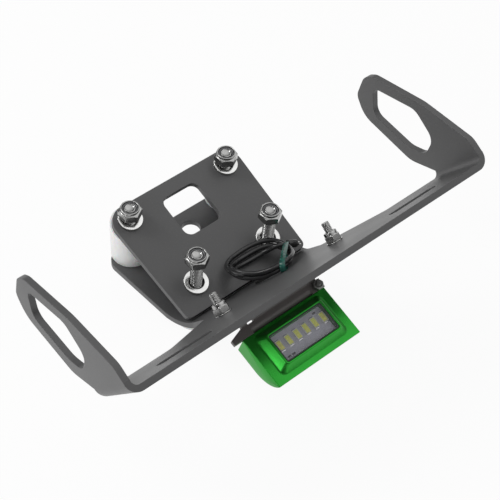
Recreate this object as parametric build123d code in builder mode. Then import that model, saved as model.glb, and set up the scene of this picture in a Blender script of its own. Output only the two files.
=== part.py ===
from build123d import *
import math
import os

# Tail tidy: a folded steel bracket with a cross bar and two slotted end ears, a
# second plate bolted above its flat foot on spacers, and a plate lamp hung behind
# the bar. Z runs along the four mounting bolts. The origin is the middle of the
# bolt pattern on the upper face of the foot. Sizes are in millimetres.

# Sheet of the main bracket
sheet = 3.0
foot_far_y = 25.2
foot_half_far = 40.9
foot_half_bend = 38.2
foot_corner = 7.0
bend_y = -29.2
bend_angle = 53.2
bend_radius = 20.0
neck_half = 35.4
flare_start = 22.0
flare_half = 63.5
flare_corner = 6.0
bar_back = 41.7
bar_front = 77.0
foot_hole_x = 3.3
foot_hole_y = 14.5
foot_hole_dia = 9.3

# Slots in the cross bar, measured up the slope and from the middle
slot_line = 61.7
slot_inner = 51.5
slot_outer = 80.0
slot_width = 6.0

# End ears
ear_outer = 101.3
ear_bend = 3.0
fold_lap = 1.0

# Upper plate
plate = 3.0
plate_pitch = 16.8
plate_rise = 20.2
plate_ahead = 8.9
plate_behind = 54.2
plate_half_near = 35.7
plate_half_far = 38.0
plate_corner_far = 9.0
plate_corner_near = 3.0
window_half = 10.45
window_far = 1.8
window_near = -20.7
window_corner = 4.0

# Mounting bolts
bolt_far_x = 28.8
bolt_near_x = 21.8
bolt_y = 20.3
bolt_dia = 6.0
bolt_clearance = 0.6
tilt_clearance = 1.5
head_flats = 10.0
head_height = 4.0
bolt_tip = 32.0
bolt_chamfer = 0.6
nut_flats = 10.0
nut_height = 5.5
nut_base = 26.9
collar_dia = 9.0
collar_height = 1.3
ring_dia = 8.0
ring_height = 0.9
washer_dia = 12.0
washer_bore = 7.3
washer_thick = 1.6
spacer_dia = 19.3
short_spacer = 10.0

# Plate lamp
lamp_pitch = 15.1
lamp_rear_y = -57.232
lamp_rear_z = 9.034
lamp_half = 24.7
lamp_depth = 27.0
lamp_height = 10.8
lamp_flat = 14.0
lamp_nose = 0.8
bezel_rise = 4.4
bezel_base_half = 19.9
bezel_base_front = 3.3
bezel_base_rear = 25.2
bezel_rim = 1.0
bezel_base_corner = 2.5
bezel_rim_corner = 1.8
lens_half_y = 7.35
lens_middle = 13.95
lens_thick = 1.2
lens_drop = 0.3
gasket = 0.5
board_thick = 1.2
board_gap = 0.2
led_count = 6
led_pitch = 5.2
led_row_side = 0.1
lens_half_x = led_count * led_pitch / 2 + led_row_side
led_width = 3.0
led_row = 15.1
led_shift = 0.3
led_length = 5.2
led_height = 0.9
led_gap = 0.5

# Lamp bracket
strap = 2.0
strap_bend = 1.0
seat_half = 18.0
shelf_left = 29.2
shelf_left_run = 2.6
shelf_slant = 22.2
shelf_right = 25.4
shelf_run = 4.9
web_run = 6.5
web_left = 14.2
web_right = 23.7
leg_outer = 21.3
leg_inner = 17.9
flange_half = 38.0
flange_start = 33.2
flange_end = 46.0

# Small screws
bar_screw_x = 33.0
bar_screw_s = 39.0
bar_screw_dia = 4.0
bar_screw_reach = 10.2
bar_nut_flats = 7.0
bar_nut_height = 5.0
bar_collar_dia = 6.4
bar_collar_height = 1.8
bar_washer_dia = 8.0
bar_washer_thick = 0.5
bar_head_dia = 7.6
bar_head_height = 2.4
small_screw_dia = 3.0
small_head_dia = 5.6
small_head_height = 1.8
lamp_screw_x = 12.0
lamp_screw_drop = 6.4
lamp_screw_depth = 6.0
clamp_screw_x = 22.4
clamp_screw_run = 2.1
clamp_screw_dia = 2.5
clamp_head_dia = 4.0
clamp_head_height = 1.2
clamp_nut_flats = 5.0
clamp_nut_height = 2.0
clamp_past_nut = 1.0
screw_clearance = 0.4
fit = 0.05

# Cable
cable_dia = 2.3
lead_x = 6.0
lead_drop = 5.0
lead_socket = 2.0
lead_straight = 8.5
lead_below = 7.0
lead_above = 4.5
neck_hole_x = 4.5
neck_hole_s = 15.8
neck_hole_dia = 8.0
grommet_lip = 1.0
grommet_lip_dia = 10.5
coil_dia = 5.0
tie_thick = 0.9
tie_width = 3.0
tie_slack = 0.05
sleeve_dia = 3.8
sleeve_length = 5.5
core_dia = 0.9
core_length = 2.5
core_pitch = 1.4
corner_share = 0.45

bend = math.radians(bend_angle)
pitch = math.radians(plate_pitch)
lean = math.radians(lamp_pitch)
slope_dir = Vector(0, -math.cos(bend), math.sin(bend))
slope_up = Vector(0, math.sin(bend), math.cos(bend))
plate_up = Vector(0, -math.sin(pitch), math.cos(pitch))
lamp_back = Vector(0, math.cos(lean), math.sin(lean))
lamp_up = Vector(0, -math.sin(lean), math.cos(lean))
bend_line = Vector(0, bend_y, 0)
lamp_origin = Vector(0, lamp_rear_y, lamp_rear_z) - lamp_back * lamp_depth


def on_slope(x, s, h):
    """Point of the sloping sheet: x across, s up the slope, h above its upper face."""
    return bend_line + Vector(x, 0, 0) + slope_dir * s + slope_up * h


def on_plate(x, y, h):
    """Where the upright line at (x, y) meets the plane h above the upper plate's lower face."""
    rise = plate_rise + (y - bolt_y) * math.tan(pitch) + h / math.cos(pitch)
    return Vector(x, y, rise)


def in_lamp(x, v, w):
    """Point of the lamp: x across, v back from its front edge, w above its rim."""
    return lamp_origin + Vector(x, 0, 0) + lamp_back * v + lamp_up * w


def slope_plane(s, h):
    """Plane on the sloping sheet, its y up the slope."""
    return Plane(origin=on_slope(0, s, h), x_dir=(-1, 0, 0), z_dir=slope_up)


def plate_plane(h):
    """Plane of the upper plate at height h above its lower face, y towards the far edge."""
    origin = Vector(0, bolt_y, plate_rise) + plate_up * h
    return Plane(origin=origin, x_dir=(1, 0, 0), z_dir=plate_up)


def lamp_plane(w):
    """Plane across the lamp at height w above its rim, y towards its back."""
    return Plane(origin=in_lamp(0, 0, w), x_dir=(1, 0, 0), z_dir=lamp_up)


def save(piece, name):
    """Label the finished piece and write it as its own file."""
    piece.part.label = name
    export_step(piece.part, f"parts/{name}.step")
    print(name, len(piece.part.solids()), round(piece.part.volume, 1))


os.makedirs("parts", exist_ok=True)
bolts = {
    "far_left": (-bolt_far_x, bolt_y),
    "far_right": (bolt_far_x, bolt_y),
    "near_left": (-bolt_near_x, -bolt_y),
    "near_right": (bolt_near_x, -bolt_y),
}

# Main bracket: flat foot, wide bend, sloping neck and bar, then the two ears
ear_outline = [
    (bar_back, ear_bend), (27.7, 12.1), (10.8, 41.2), (13.9, 52.0), (26.6, 58.2),
    (32.9, 56.2), (56.9, 34.9), (75.9, 11.0), (bar_front, ear_bend),
]
ear_radii = [14.0, 12.0, 6.0, 8.0, 8.0, 30.0, 8.0]
ear_window = [(29.0, 51.6), (50.6, 33.6), (51.9, 17.2), (40.6, 11.9), (31.6, 18.2), (18.5, 39.8)]
ear_window_radii = [4.5, 8.0, 7.0, 7.0, 12.0, 6.0]
back_drop = sheet * math.tan(bend / 2)
slope_end = on_slope(0, bar_back, 0)
slope_end_low = on_slope(0, bar_back, -sheet)

with BuildPart() as main_bracket:
    with BuildSketch(Plane.YZ):
        with BuildLine():
            FilletPolyline(
                (foot_far_y, 0), (bend_y, 0), (slope_end.Y, slope_end.Z), radius=bend_radius
            )
            Line((slope_end.Y, slope_end.Z), (slope_end_low.Y, slope_end_low.Z))
            FilletPolyline(
                (slope_end_low.Y, slope_end_low.Z),
                (bend_y - back_drop, -sheet),
                (foot_far_y, -sheet),
                radius=bend_radius + sheet,
            )
            Line((foot_far_y, -sheet), (foot_far_y, 0))
        make_face()
    extrude(amount=foot_half_far, both=True)
    bend_start = bend_y + bend_radius * math.tan(bend / 2)
    neck_start = on_slope(0, bend_radius * math.tan(bend / 2), 0).Y
    with BuildSketch(Plane.XY.offset(-2 * sheet)) as foot_outline:
        with BuildLine():
            Polyline(
                (-foot_half_far, foot_far_y),
                (-foot_half_bend, bend_start),
                (-neck_half, neck_start),
                (-neck_half, slope_end_low.Y - sheet),
                (neck_half, slope_end_low.Y - sheet),
                (neck_half, neck_start),
                (foot_half_bend, bend_start),
                (foot_half_far, foot_far_y),
                close=True,
            )
        make_face()
        fillet(foot_outline.vertices().group_by(Axis.Y)[-1], foot_corner)
    extrude(amount=bar_front, mode=Mode.INTERSECT)
    with BuildSketch(slope_plane(0, 0)):
        with BuildLine():
            Polyline(
                (neck_half, flare_start), (flare_half, bar_back),
                (ear_outer - sheet - ear_bend, bar_back),
                (ear_outer - sheet - ear_bend, bar_front),
                (-ear_outer + sheet + ear_bend, bar_front),
                (-ear_outer + sheet + ear_bend, bar_back),
                (-flare_half, bar_back), (-neck_half, flare_start),
                close=True,
            )
        make_face()
    extrude(amount=-sheet)
    corner_edges = main_bracket.edges().filter_by(lambda e: abs(
        (e.center() - bend_line).dot(slope_dir) - bar_back) < 0.01
        and abs(abs(e.center().X) - flare_half) < 0.01)
    fillet(corner_edges, flare_corner)
    ear_start = Plane(origin=on_slope(0, bar_back, 0), x_dir=(1, 0, 0), z_dir=slope_dir)
    with BuildSketch(ear_start) as ear_fold:
        with BuildLine():
            FilletPolyline(
                (ear_outer - sheet - ear_bend - fold_lap, 0),
                (ear_outer - sheet, 0),
                (ear_outer - sheet, ear_bend + fold_lap),
                radius=ear_bend,
            )
            Line((ear_outer - sheet, ear_bend + fold_lap), (ear_outer, ear_bend + fold_lap))
            FilletPolyline(
                (ear_outer, ear_bend + fold_lap),
                (ear_outer, -sheet),
                (ear_outer - sheet - ear_bend - fold_lap, -sheet),
                radius=ear_bend + sheet,
            )
            Line(
                (ear_outer - sheet - ear_bend - fold_lap, -sheet),
                (ear_outer - sheet - ear_bend - fold_lap, 0),
            )
        make_face()
        mirror(about=Plane.YZ)
    extrude(amount=bar_front - bar_back)
    ear_side = Plane(origin=on_slope(ear_outer, 0, 0), x_dir=slope_dir, z_dir=(-1, 0, 0))
    with BuildSketch(ear_side):
        with BuildLine():
            FilletPolyline(*ear_outline, radius=ear_radii)
            Line(ear_outline[-1], ear_outline[0])
        make_face()
        with BuildLine():
            FilletPolyline(*ear_window, radius=ear_window_radii, close=True)
        make_face(mode=Mode.SUBTRACT)
    right_ear = extrude(amount=sheet)
    mirror(right_ear, about=Plane.YZ)
    with BuildSketch(slope_plane(slot_line, 0)):
        slot_middle = (slot_inner + slot_outer) / 2
        with Locations((-slot_middle, 0), (slot_middle, 0)):
            SlotOverall(slot_outer - slot_inner, slot_width)
    extrude(amount=-sheet, mode=Mode.SUBTRACT)
    with BuildSketch(slope_plane(0, 0)):
        with Locations((-bar_screw_x, bar_screw_s), (bar_screw_x, bar_screw_s)):
            Circle((bar_screw_dia + screw_clearance) / 2)
        with Locations((-neck_hole_x, neck_hole_s)):
            Circle(neck_hole_dia / 2)
    extrude(amount=-sheet, mode=Mode.SUBTRACT)
    with BuildSketch(Plane.XY.offset(sheet)):
        with Locations(*bolts.values()):
            Circle((bolt_dia + bolt_clearance) / 2)
        with Locations((foot_hole_x, foot_hole_y)):
            Circle(foot_hole_dia / 2)
    extrude(amount=-3 * sheet, mode=Mode.SUBTRACT)
save(main_bracket, "main_bracket")

# Upper plate: tapered, with rounded corners, a window and four bolt holes
with BuildPart() as top_plate:
    with BuildSketch(plate_plane(0)) as plate_outline:
        with BuildLine():
            Polyline(
                (-plate_half_near, -plate_behind),
                (plate_half_near, -plate_behind),
                (plate_half_far, plate_ahead),
                (-plate_half_far, plate_ahead),
                close=True,
            )
        make_face()
        fillet(plate_outline.vertices().group_by(Axis.Y)[-1], plate_corner_far)
        fillet(plate_outline.vertices().group_by(Axis.Y)[0], plate_corner_near)
        with Locations((0, (window_far + window_near) / 2)):
            RectangleRounded(
                2 * window_half, window_far - window_near, window_corner, mode=Mode.SUBTRACT
            )
        for x, y in bolts.values():
            centre = plate_plane(0).to_local_coords(on_plate(x, y, plate / 2))
            with Locations((centre.X, centre.Y)):
                Circle((bolt_dia + tilt_clearance) / 2, mode=Mode.SUBTRACT)
    extrude(amount=plate)
save(top_plate, "top_plate")

# Spacers: tall ones cut to the plate's pitch, short ones under the foot
for side in ("left", "right"):
    x, y = bolts["far_" + side]
    with BuildPart() as tall_spacer:
        with BuildSketch():
            with Locations((x, y)):
                Circle(spacer_dia / 2)
                Circle((bolt_dia + bolt_clearance) / 2, mode=Mode.SUBTRACT)
        extrude(amount=plate_rise + spacer_dia)
        split(bisect_by=plate_plane(0), keep=Keep.BOTTOM)
    save(tall_spacer, "tall_spacer_" + side)
    x, y = bolts["near_" + side]
    with BuildPart() as low_spacer:
        with BuildSketch(Plane.XY.offset(-sheet - short_spacer)):
            with Locations((x, y)):
                Circle(spacer_dia / 2)
                Circle((bolt_dia + bolt_clearance) / 2, mode=Mode.SUBTRACT)
        extrude(amount=short_spacer)
    save(low_spacer, "short_spacer_" + side)

# Mounting bolts, nuts with their locking rings, and washers
for name, (x, y) in bolts.items():
    under_head = -sheet if name.startswith("far") else -sheet - short_spacer
    with BuildPart() as bolt:
        with BuildSketch(Plane.XY.offset(under_head - head_height)):
            with Locations((x, y)):
                RegularPolygon(head_flats / 2, 6, major_radius=False)
        extrude(amount=head_height)
        with BuildSketch(Plane.XY.offset(under_head)):
            with Locations((x, y)):
                Circle(bolt_dia / 2)
        extrude(amount=bolt_tip - under_head)
        chamfer(bolt.edges().filter_by(GeomType.CIRCLE).group_by(Axis.Z)[-1], bolt_chamfer)
    save(bolt, "bolt_" + name)
    ring_base = nut_base + nut_height - collar_height
    with BuildPart() as nut:
        with BuildSketch(Plane.XY.offset(nut_base)):
            with Locations((x, y)):
                RegularPolygon(nut_flats / 2, 6, major_radius=False, rotation=30)
                Circle(bolt_dia / 2, mode=Mode.SUBTRACT)
        extrude(amount=nut_height - collar_height)
        with BuildSketch(Plane.XY.offset(ring_base)):
            with Locations((x, y)):
                Circle(collar_dia / 2)
                Circle(ring_dia / 2, mode=Mode.SUBTRACT)
        extrude(amount=collar_height)
    save(nut, "nut_" + name)
    with BuildPart() as ring:
        with BuildSketch(Plane.XY.offset(ring_base)):
            with Locations((x, y)):
                Circle(ring_dia / 2)
                Circle(bolt_dia / 2, mode=Mode.SUBTRACT)
        extrude(amount=ring_height)
    save(ring, "nut_ring_" + name)
    with BuildPart() as washer:
        middle = plate_plane(plate).to_local_coords(on_plate(x, y, plate + washer_thick / 2))
        with BuildSketch(plate_plane(plate)):
            with Locations((middle.X, middle.Y)):
                Circle(washer_dia / 2)
                Circle(washer_bore / 2, mode=Mode.SUBTRACT)
        extrude(amount=washer_thick)
    save(washer, "washer_" + name)

# Lamp housing: wedge with a curved underside, raised bezel and a pocket for the board
pocket_depth = lens_drop + lens_thick + led_gap + led_height + board_thick
rear = Plane(origin=in_lamp(0, lamp_depth, 0), x_dir=(1, 0, 0), z_dir=-lamp_back)
with BuildPart() as lamp_housing:
    with BuildSketch(Plane(origin=in_lamp(-lamp_half, 0, 0), x_dir=lamp_back, z_dir=(1, 0, 0))):
        with BuildLine():
            Polyline(
                (0, -lamp_nose), (0, 0), (lamp_depth, 0),
                (lamp_depth, -lamp_height), (lamp_flat, -lamp_height),
            )
            TangentArc((lamp_flat, -lamp_height), (0, -lamp_nose), tangent=(-1, 0))
        make_face()
    extrude(amount=2 * lamp_half)
    bezel_middle = (bezel_base_front + bezel_base_rear) / 2
    with BuildSketch(lamp_plane(0)):
        with Locations((0, bezel_middle)):
            RectangleRounded(
                2 * bezel_base_half, bezel_base_rear - bezel_base_front, bezel_base_corner
            )
    with BuildSketch(lamp_plane(bezel_rise)):
        with Locations((0, lens_middle)):
            RectangleRounded(
                2 * (lens_half_x + bezel_rim), 2 * (lens_half_y + bezel_rim), bezel_rim_corner
            )
    loft()
    with BuildSketch(lamp_plane(bezel_rise)):
        with Locations((0, lens_middle)):
            Rectangle(2 * lens_half_x, 2 * lens_half_y)
    extrude(amount=-(lens_drop + lens_thick), mode=Mode.SUBTRACT)
    with BuildSketch(lamp_plane(bezel_rise)):
        with Locations((0, lens_middle)):
            Rectangle(2 * (lens_half_x - gasket), 2 * (lens_half_y - gasket))
    extrude(amount=-pocket_depth, mode=Mode.SUBTRACT)
    with BuildSketch(rear):
        with Locations((-lamp_screw_x, -lamp_screw_drop), (lamp_screw_x, -lamp_screw_drop)):
            Circle(small_screw_dia / 2 + fit)
    extrude(amount=lamp_screw_depth, mode=Mode.SUBTRACT)
    with BuildSketch(rear):
        with Locations((lead_x, -lead_drop)):
            Circle(cable_dia / 2 + fit)
    extrude(amount=lead_socket, mode=Mode.SUBTRACT)
save(lamp_housing, "lamp_housing")

with BuildPart() as lamp_gasket:
    with BuildSketch(lamp_plane(bezel_rise - lens_drop)):
        with Locations((0, lens_middle)):
            Rectangle(2 * lens_half_x, 2 * lens_half_y)
            Rectangle(
                2 * (lens_half_x - gasket), 2 * (lens_half_y - gasket), mode=Mode.SUBTRACT
            )
    extrude(amount=-lens_thick)
save(lamp_gasket, "lamp_gasket")

with BuildPart() as lamp_lens:
    with BuildSketch(lamp_plane(bezel_rise - lens_drop)):
        with Locations((0, lens_middle)):
            Rectangle(2 * (lens_half_x - gasket), 2 * (lens_half_y - gasket))
    extrude(amount=-lens_thick)
save(lamp_lens, "lamp_lens")

with BuildPart() as led_board:
    with BuildSketch(lamp_plane(bezel_rise - pocket_depth)):
        with Locations((0, lens_middle)):
            Rectangle(
                2 * (lens_half_x - gasket - board_gap), 2 * (lens_half_y - gasket - board_gap)
            )
    extrude(amount=board_thick)
save(led_board, "led_board")

with BuildPart() as leds:
    with BuildSketch(lamp_plane(bezel_rise - pocket_depth + board_thick)):
        with Locations((led_shift, led_row)):
            with GridLocations(led_pitch, led_length, led_count, 1):
                Rectangle(led_width, led_length)
    extrude(amount=led_height)
save(leds, "leds")

# Lamp bracket: seat behind the lamp, shelf level with its rim, web and leg up to the flange
tab_start = lamp_depth + strap + strap_bend
shelf_end = lamp_depth + shelf_run
clamp_screw_at = lamp_depth + clamp_screw_run
seat_foot = in_lamp(0, lamp_depth + strap / 2, -lamp_height)
seat_head = in_lamp(0, lamp_depth + strap / 2, -strap / 2)
shelf_front = in_lamp(0, tab_start, -strap / 2)
seat_end = in_lamp(0, tab_start + strap / 2, -strap / 2)
shelf_back = in_lamp(0, lamp_depth + web_run, -strap / 2)
flange_foot = on_slope(0, flange_start - strap, -sheet - strap / 2)
flange_head = on_slope(0, flange_end, -sheet - strap / 2)
with BuildPart() as lamp_bracket:
    with BuildSketch(Plane.YZ):
        with BuildLine() as seat_line:
            FilletPolyline(
                (seat_foot.Y, seat_foot.Z), (seat_head.Y, seat_head.Z),
                (seat_end.Y, seat_end.Z),
                radius=strap_bend + strap / 2,
            )
        trace(seat_line.wire(), line_width=strap)
    extrude(amount=seat_half, both=True)
    for left, right in ((-web_left, web_right), (-leg_outer, -leg_inner)):
        with BuildSketch(Plane.YZ.offset(left)):
            with BuildLine() as rise_line:
                FilletPolyline(
                    (shelf_front.Y, shelf_front.Z), (shelf_back.Y, shelf_back.Z),
                    (flange_foot.Y, flange_foot.Z), (flange_head.Y, flange_head.Z),
                    radius=strap_bend + strap / 2,
                )
            trace(rise_line.wire(), line_width=strap)
        extrude(amount=right - left)
    with BuildSketch(lamp_plane(0)):
        with BuildLine():
            Polyline(
                (-shelf_left, lamp_depth), (-seat_half, lamp_depth),
                (-seat_half, tab_start), (seat_half, tab_start),
                (seat_half, lamp_depth), (shelf_right, lamp_depth),
                (shelf_right, shelf_end), (-shelf_slant, shelf_end),
                (-shelf_left, lamp_depth + shelf_left_run),
                close=True,
            )
        make_face()
    extrude(amount=-strap)
    with BuildSketch(lamp_plane(0)):
        with Locations((clamp_screw_x, clamp_screw_at)):
            Circle((clamp_screw_dia + screw_clearance) / 2)
    extrude(amount=-strap, mode=Mode.SUBTRACT)
    with BuildSketch(slope_plane((flange_start + flange_end) / 2, -sheet)):
        Rectangle(2 * flange_half, flange_end - flange_start)
    extrude(amount=-strap)
    with BuildSketch(slope_plane(bar_screw_s, -sheet)):
        with Locations((-bar_screw_x, 0), (bar_screw_x, 0)):
            Circle((bar_screw_dia + screw_clearance) / 2)
    extrude(amount=-strap, mode=Mode.SUBTRACT)
    with BuildSketch(rear):
        with Locations((-lamp_screw_x, -lamp_screw_drop), (lamp_screw_x, -lamp_screw_drop)):
            Circle((small_screw_dia + screw_clearance) / 2)
        with Locations((lead_x, -lead_drop)):
            Circle((cable_dia + screw_clearance) / 2)
    extrude(amount=-strap, mode=Mode.SUBTRACT)
save(lamp_bracket, "lamp_bracket")

# Screws, washers and nuts that hold the lamp bracket to the bar
for side, sign in (("left", -1), ("right", 1)):
    place = -sign * bar_screw_x
    with BuildPart() as bar_screw:
        with BuildSketch(slope_plane(bar_screw_s, -sheet - strap)):
            with Locations((place, 0)):
                Circle(bar_head_dia / 2)
        extrude(amount=-bar_head_height)
        with BuildSketch(slope_plane(bar_screw_s, -sheet - strap)):
            with Locations((place, 0)):
                Circle(bar_screw_dia / 2)
        extrude(amount=sheet + strap + bar_screw_reach)
    save(bar_screw, "bar_screw_" + side)
    with BuildPart() as bar_washer:
        with BuildSketch(slope_plane(bar_screw_s, 0)):
            with Locations((place, 0)):
                Circle(bar_washer_dia / 2)
                Circle((bar_screw_dia + screw_clearance) / 2, mode=Mode.SUBTRACT)
        extrude(amount=bar_washer_thick)
    save(bar_washer, "bar_washer_" + side)
    with BuildPart() as bar_nut:
        with BuildSketch(slope_plane(bar_screw_s, bar_washer_thick)):
            with Locations((place, 0)):
                RegularPolygon(bar_nut_flats / 2, 6, major_radius=False)
                Circle(bar_screw_dia / 2, mode=Mode.SUBTRACT)
        extrude(amount=bar_nut_height - bar_collar_height)
        with BuildSketch(slope_plane(bar_screw_s, bar_washer_thick)):
            with Locations((place, 0)):
                Circle(bar_collar_dia / 2)
                Circle(bar_screw_dia / 2, mode=Mode.SUBTRACT)
        extrude(amount=bar_nut_height)
    save(bar_nut, "bar_nut_" + side)

# Two screws from the seat into the lamp, and the clamp screw up through the shelf
behind_seat = rear.offset(-strap)
with BuildPart() as lamp_screws:
    with BuildSketch(behind_seat):
        with Locations((-lamp_screw_x, -lamp_screw_drop), (lamp_screw_x, -lamp_screw_drop)):
            Circle(small_head_dia / 2)
    extrude(amount=-small_head_height)
    with BuildSketch(behind_seat):
        with Locations((-lamp_screw_x, -lamp_screw_drop), (lamp_screw_x, -lamp_screw_drop)):
            Circle(small_screw_dia / 2)
    extrude(amount=strap + lamp_screw_depth)
save(lamp_screws, "lamp_screws")

with BuildPart() as clamp_screw:
    with BuildSketch(lamp_plane(-strap)):
        with Locations((clamp_screw_x, clamp_screw_at)):
            Circle(clamp_head_dia / 2)
    extrude(amount=-clamp_head_height)
    with BuildSketch(lamp_plane(-strap)):
        with Locations((clamp_screw_x, clamp_screw_at)):
            Circle(clamp_screw_dia / 2)
    extrude(amount=strap + clamp_nut_height + clamp_past_nut)
save(clamp_screw, "clamp_screw")

with BuildPart() as clamp_nut:
    with BuildSketch(lamp_plane(0)):
        with Locations((clamp_screw_x, clamp_screw_at)):
            RegularPolygon(clamp_nut_flats / 2, 6, major_radius=False, rotation=30)
            Circle(clamp_screw_dia / 2, mode=Mode.SUBTRACT)
    extrude(amount=clamp_nut_height)
save(clamp_nut, "clamp_nut")

# Cable: lead from the lamp through the neck, a tied loop of turns, and its bare end
lead_points = [
    in_lamp(lead_x, lamp_depth - lead_socket, -lead_drop),
    in_lamp(lead_x, lamp_depth + lead_straight, -lead_drop),
    on_slope(neck_hole_x, neck_hole_s, -lead_below),
    on_slope(neck_hole_x, neck_hole_s, lead_above),
    Vector(-6.0, -31.7, 16.9),
]
coil_points = [
    (-6.5, -25.5, 14.3), (0.5, -21.6, 13.6), (11.0, -22.0, 13.6), (18.5, -25.6, 15.0),
    (22.5, -31.5, 17.8), (18.9, -39.9, 20.8), (12.5, -42.3, 23.9), (4.5, -42.3, 23.9),
    (-2.5, -38.0, 20.8), (-7.0, -31.5, 17.2),
]
tie_far = Vector(20.7, -35.7, 19.3)
tie_near = Vector(11.5, -42.3, 23.9)
loop_lie = Vector(0, -20.0, 9.0)
end_point = Vector(23.4, -32.0, 17.2)
end_dir = Vector(6.0, -1.2, -2.6).normalized()


def bend_radii(points, closed):
    """Largest radius for each corner: a share of its shorter run over the tangent of half its turn."""
    pts = [Vector(q) for q in points]
    corners = range(len(pts)) if closed else range(1, len(pts) - 1)
    radii = []
    for i in corners:
        before = pts[i] - pts[i - 1]
        after = pts[(i + 1) % len(pts)] - pts[i]
        half_turn = math.radians(before.get_angle(after)) / 2
        radii.append(corner_share * min(before.length, after.length) / math.tan(half_turn))
    return radii


lead_radii = bend_radii(lead_points, False)
coil_radii = bend_radii(coil_points, True)
print("lead radii", [round(r, 1) for r in lead_radii])
print("coil radii", [round(r, 1) for r in coil_radii])
with BuildPart() as cable_lead:
    with BuildLine() as lead_line:
        FilletPolyline(*lead_points, radius=lead_radii)
    lead_wire = lead_line.wire()
    with BuildSketch(Plane(origin=lead_wire @ 0, z_dir=lead_wire % 0)):
        Circle(cable_dia / 2)
    sweep(path=lead_wire)
lead_length = lead_wire.length
print("lead length", round(lead_length, 1), "section times length",
      round(math.pi * (cable_dia / 2) ** 2 * lead_length, 1))
save(cable_lead, "cable_lead")

# Grommet in the neck, tight on the lead
with BuildPart() as grommet:
    for base, rise, width in (
        (grommet_lip, grommet_lip, grommet_lip_dia),
        (0, sheet, neck_hole_dia),
        (-sheet, grommet_lip, grommet_lip_dia),
    ):
        with BuildSketch(slope_plane(neck_hole_s, base)):
            with Locations((-neck_hole_x, 0)):
                Circle(width / 2)
        extrude(amount=-rise)
    add(cable_lead.part, mode=Mode.SUBTRACT)
save(grommet, "grommet")

with BuildPart() as cable_coil:
    with BuildLine() as coil_line:
        FilletPolyline(*coil_points, radius=coil_radii, close=True)
    coil_wire = coil_line.wire()
    coil_edges = coil_wire.order_edges()
    halfway = len(coil_edges) // 2
    for run in (Wire(coil_edges[:halfway]), Wire(coil_edges[halfway:])):
        with BuildSketch(Plane(origin=run @ 0, z_dir=run % 0)):
            Circle(coil_dia / 2)
        sweep(path=run)
    add(cable_lead.part, mode=Mode.SUBTRACT)
print("coil turn", round(coil_wire.length, 1), "section times length",
      round(math.pi * (coil_dia / 2) ** 2 * coil_wire.length, 1))
save(cable_coil, "cable_coil")

# Flat tie round both sides of the loop
tie_run = tie_near - tie_far
tie_middle = (tie_near + tie_far) * 0.5
loop_up = loop_lie.cross(Vector(1, 0, 0))
tie_plane = Plane(origin=tie_middle, x_dir=tie_run, z_dir=loop_up.cross(tie_run))
with BuildPart() as cable_tie:
    with BuildSketch(tie_plane):
        SlotCenterToCenter(tie_run.length, coil_dia + 2 * tie_slack + 2 * tie_thick)
        SlotCenterToCenter(tie_run.length, coil_dia + 2 * tie_slack, mode=Mode.SUBTRACT)
    extrude(amount=tie_width / 2, both=True)
    add(cable_coil.part, mode=Mode.SUBTRACT)
save(cable_tie, "cable_tie")

with BuildPart() as cable_end:
    with BuildSketch(Plane(origin=end_point, z_dir=end_dir)):
        Circle(sleeve_dia / 2)
    extrude(amount=sleeve_length)
    with BuildSketch(Plane(origin=end_point + end_dir * sleeve_length, z_dir=end_dir)):
        with GridLocations(core_pitch, core_pitch, 2, 1):
            Circle(core_dia / 2)
    extrude(amount=core_length)
    add(cable_coil.part, mode=Mode.SUBTRACT)
save(cable_end, "cable_end")
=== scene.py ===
import math

import bpy
import numpy as np
from mathutils import Matrix, Vector


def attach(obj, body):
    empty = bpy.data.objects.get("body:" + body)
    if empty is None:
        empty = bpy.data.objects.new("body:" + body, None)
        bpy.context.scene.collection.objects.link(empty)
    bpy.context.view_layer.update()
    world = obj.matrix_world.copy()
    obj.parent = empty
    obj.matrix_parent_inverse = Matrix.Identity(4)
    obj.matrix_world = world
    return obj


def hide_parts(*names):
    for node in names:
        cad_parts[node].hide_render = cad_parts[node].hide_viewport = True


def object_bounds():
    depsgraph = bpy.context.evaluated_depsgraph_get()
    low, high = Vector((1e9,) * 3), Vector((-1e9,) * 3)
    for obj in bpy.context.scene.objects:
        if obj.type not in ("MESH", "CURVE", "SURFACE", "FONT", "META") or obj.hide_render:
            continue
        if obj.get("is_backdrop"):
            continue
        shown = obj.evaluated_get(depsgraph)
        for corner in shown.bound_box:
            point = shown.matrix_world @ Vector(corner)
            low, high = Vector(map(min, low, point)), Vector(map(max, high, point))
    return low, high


bl_info = {
    "name": "Tail tidy",
    "version": (1, 0, 0),
    "blender": (4, 5, 0),
    "location": "View3D > Sidebar > Tail tidy",
    "description": "Dresses the tail tidy's steel, fasteners, spacers, plate lamp and cable",
    "category": "Object",
}

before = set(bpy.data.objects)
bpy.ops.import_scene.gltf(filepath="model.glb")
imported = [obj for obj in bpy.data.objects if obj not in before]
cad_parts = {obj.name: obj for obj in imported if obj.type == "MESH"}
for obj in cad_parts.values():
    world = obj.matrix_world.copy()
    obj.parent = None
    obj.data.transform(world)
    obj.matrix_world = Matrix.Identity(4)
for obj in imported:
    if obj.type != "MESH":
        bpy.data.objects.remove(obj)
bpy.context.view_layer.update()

MM = 0.001
BODY = "root"
TURN = 2 * math.pi

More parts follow.
